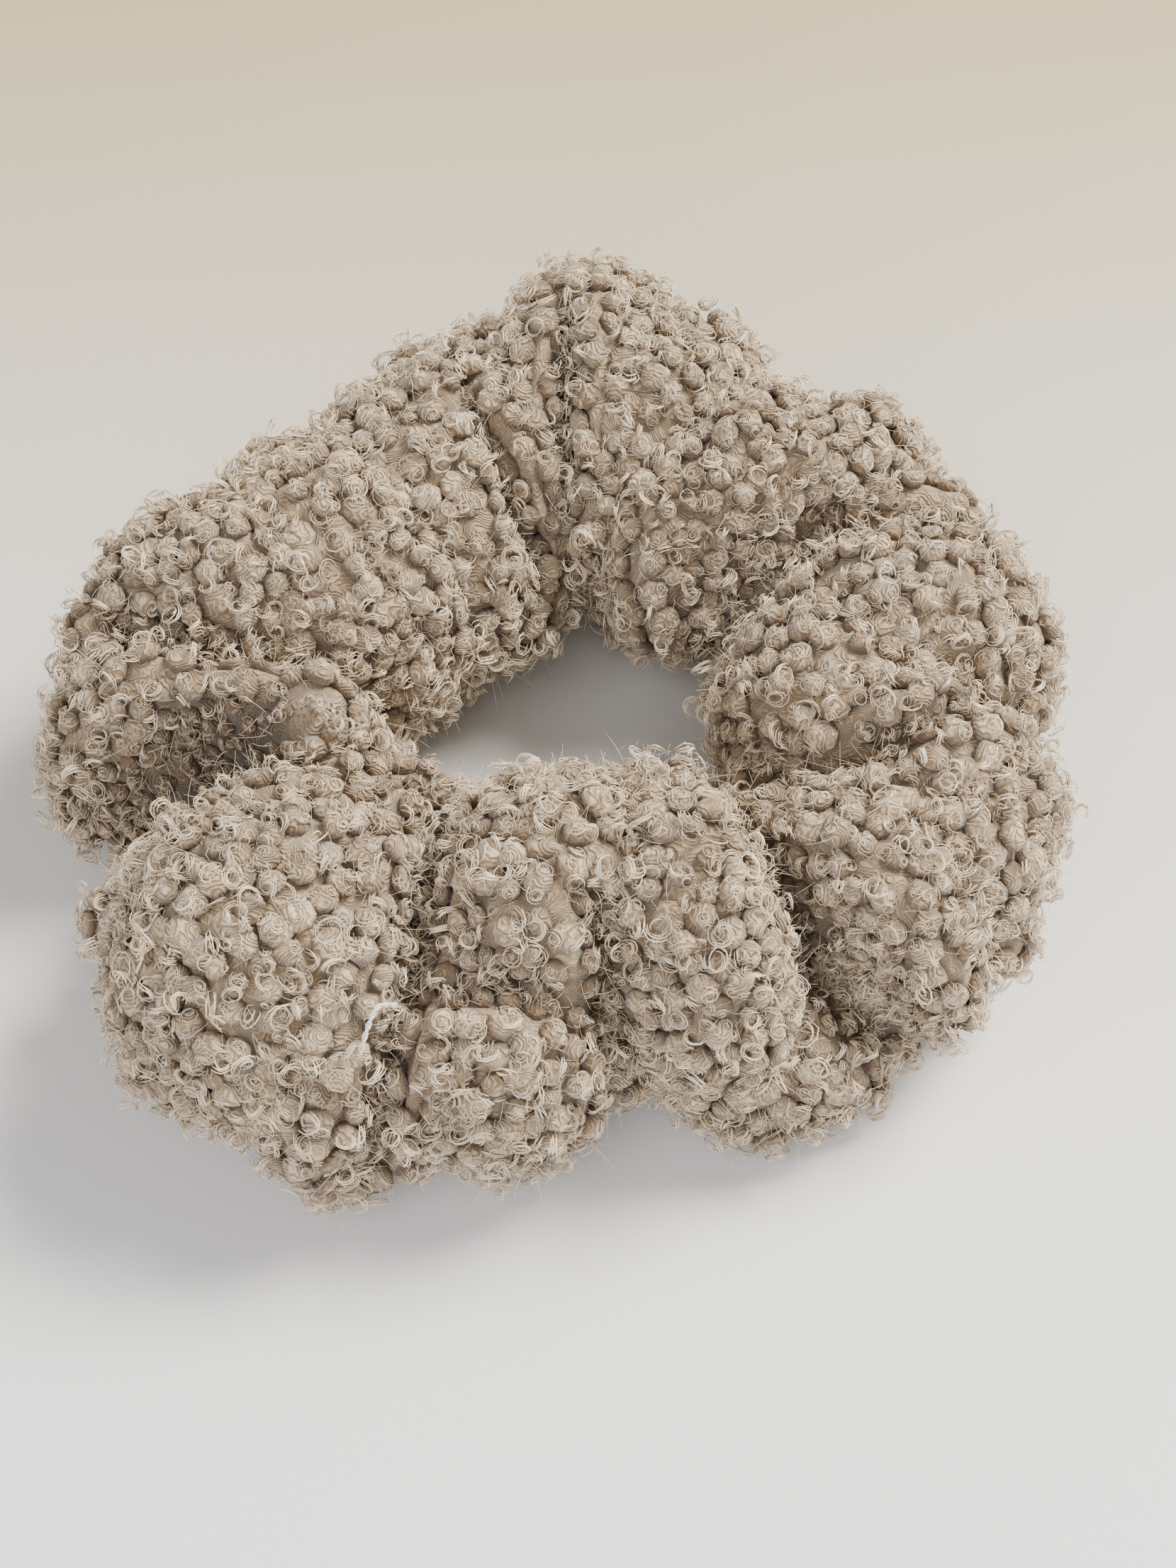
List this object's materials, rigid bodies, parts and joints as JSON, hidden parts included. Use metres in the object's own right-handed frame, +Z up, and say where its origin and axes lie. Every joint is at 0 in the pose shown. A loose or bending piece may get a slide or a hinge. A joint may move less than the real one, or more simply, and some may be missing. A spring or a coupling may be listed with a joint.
{
  "type": "hair scrunchie",
  "caption": "Soft gathered scrunchie: a curly bouclé knit tube drawn into uneven lobes by an elastic loop sewn inside it, lying flat.",
  "frame": {"origin": "middle of the outline, on the surface the scrunchie lies on", "axes": "+Z up through the hair opening; +X to the right and +Y to the back, with the closing seam at the front right"},
  "size_m": [0.125, 0.1236, 0.05],
  "materials": {
    "boucle_cover": "curled cream bouclé pile on a thin tan knit",
    "elastic": "woven white elastic braid",
    "seam_thread": "spun polyester sewing thread",
    "loose_yarn": "twisted two-ply yarn"
  },
  "bodies": {
    "root": {"cover_seam_end_a": "boucle_cover", "long_seam_thread_end_a": "seam_thread", "closing_seam_thread": "seam_thread", "elastic_band": "elastic", "elastic_join_thread": "seam_thread"},
    "gather_01": {"cover_gather_01": "boucle_cover", "long_seam_thread_01": "seam_thread"},
    "gather_02": {"cover_gather_02": "boucle_cover", "long_seam_thread_02": "seam_thread"},
    "gather_03": {"cover_gather_03": "boucle_cover", "long_seam_thread_03": "seam_thread"},
    "gather_04": {"cover_gather_04": "boucle_cover", "long_seam_thread_04": "seam_thread"},
    "gather_05": {"cover_gather_05": "boucle_cover", "long_seam_thread_05": "seam_thread"},
    "gather_06": {"cover_gather_06": "boucle_cover", "long_seam_thread_06": "seam_thread"},
    "gather_07": {"cover_gather_07": "boucle_cover", "long_seam_thread_07": "seam_thread"},
    "gather_08": {"cover_gather_08": "boucle_cover", "long_seam_thread_08": "seam_thread"},
    "gather_09": {"cover_gather_09": "boucle_cover", "long_seam_thread_09": "seam_thread", "thread_tail": "loose_yarn"},
    "gather_10": {"cover_gather_10": "boucle_cover", "long_seam_thread_10": "seam_thread"},
    "gather_11": {"cover_gather_11": "boucle_cover", "long_seam_thread_11": "seam_thread"},
    "seam_end": {"cover_seam_end_b": "boucle_cover", "long_seam_thread_end_b": "seam_thread"}
  },
  "joints": [
    {"name": "stretch_01", "type": "slide", "parent": "root", "child": "gather_01", "axis": [0.8293, 0.5588, 0], "range_m": [0, 0.0101], "stiffness_N_per_m": 396, "deforming": ["elastic_band"]},
    {"name": "stretch_02", "type": "slide", "parent": "gather_01", "child": "gather_02", "axis": [0.0752, 0.9972, 0], "range_m": [0, 0.01349], "stiffness_N_per_m": 296.6},
    {"name": "stretch_03", "type": "slide", "parent": "gather_02", "child": "gather_03", "axis": [-0.3635, 0.9316, 0], "range_m": [0, 0.01428], "stiffness_N_per_m": 280.1},
    {"name": "stretch_04", "type": "slide", "parent": "gather_03", "child": "gather_04", "axis": [-0.8346, 0.5508, 0], "range_m": [0, 0.01386], "stiffness_N_per_m": 288.7},
    {"name": "stretch_05", "type": "slide", "parent": "gather_04", "child": "gather_05", "axis": [-0.9986, 0.052, 0], "range_m": [0, 0.01109], "stiffness_N_per_m": 360.6},
    {"name": "stretch_06", "type": "slide", "parent": "gather_05", "child": "gather_06", "axis": [-0.7721, -0.6355, 0], "range_m": [0, 0.01231], "stiffness_N_per_m": 324.9},
    {"name": "stretch_07", "type": "slide", "parent": "gather_06", "child": "gather_07", "axis": [-0.7627, -0.6468, 0], "range_m": [0, 0.01521], "stiffness_N_per_m": 263},
    {"name": "stretch_08", "type": "slide", "parent": "gather_07", "child": "gather_08", "axis": [0.0785, -0.9969, 0], "range_m": [0, 0.0132], "stiffness_N_per_m": 302.9},
    {"name": "stretch_09", "type": "slide", "parent": "gather_08", "child": "gather_09", "axis": [0.469, -0.8832, 0], "range_m": [0, 0.01645], "stiffness_N_per_m": 243.2},
    {"name": "stretch_10", "type": "slide", "parent": "gather_09", "child": "gather_10", "axis": [0.9951, -0.0992, 0], "range_m": [0, 0.01301], "stiffness_N_per_m": 307.4},
    {"name": "stretch_11", "type": "slide", "parent": "gather_10", "child": "gather_11", "axis": [0.9889, 0.1485, 0], "range_m": [0, 0.01091], "stiffness_N_per_m": 366.5},
    {"name": "stretch_12", "type": "slide", "parent": "gather_11", "child": "seam_end", "axis": [0.8477, 0.5306, 0], "range_m": [0, 0.00832], "stiffness_N_per_m": 480.6}
  ],
  "couplings": [
    {"joint": "stretch_02", "follows": "stretch_01", "ratio": 1.3355},
    {"joint": "stretch_03", "follows": "stretch_01", "ratio": 1.4139},
    {"joint": "stretch_04", "follows": "stretch_01", "ratio": 1.3719},
    {"joint": "stretch_05", "follows": "stretch_01", "ratio": 1.0984},
    {"joint": "stretch_06", "follows": "stretch_01", "ratio": 1.2189},
    {"joint": "stretch_07", "follows": "stretch_01", "ratio": 1.506},
    {"joint": "stretch_08", "follows": "stretch_01", "ratio": 1.3073},
    {"joint": "stretch_09", "follows": "stretch_01", "ratio": 1.6287},
    {"joint": "stretch_10", "follows": "stretch_01", "ratio": 1.2883},
    {"joint": "stretch_11", "follows": "stretch_01", "ratio": 1.0807},
    {"joint": "stretch_12", "follows": "stretch_01", "ratio": 0.82408}
  ]
}
